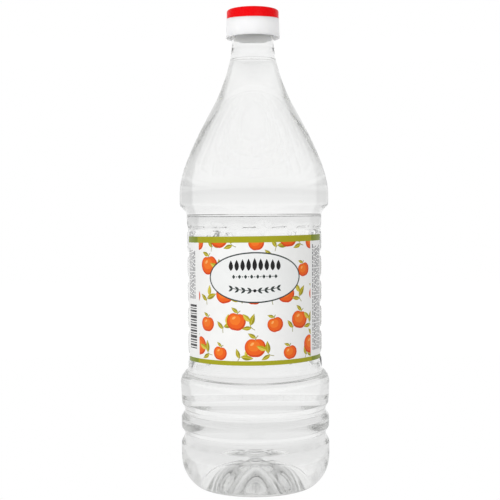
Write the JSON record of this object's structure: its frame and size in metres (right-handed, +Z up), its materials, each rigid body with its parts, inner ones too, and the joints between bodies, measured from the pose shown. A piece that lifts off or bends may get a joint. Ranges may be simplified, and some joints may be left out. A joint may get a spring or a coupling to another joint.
{
  "type": "vinegar bottle",
  "caption": "Clear blow-moulded bottle of vinegar with a quilted label panel, ribbed lower body, front label and a shut white cap with a red lid.",
  "frame": {"origin": "centre of the standing ring, on the surface that the bottle stands on", "axes": "+Z up along the bottle's axis, -Y towards the label's middle"},
  "size_m": [0.0676, 0.0675, 0.2147],
  "materials": {
    "clear_plastic": "clear glossy blown plastic",
    "vinegar": "clear colourless liquid",
    "label": "printed and varnished sheet",
    "white_plastic": "satin moulded plastic",
    "red_plastic": "satin moulded plastic"
  },
  "bodies": {
    "root": {"bottle": "clear_plastic", "vinegar": "vinegar", "label": "label", "cap_collar": "white_plastic", "cap_lid": "red_plastic"}
  },
  "joints": []
}
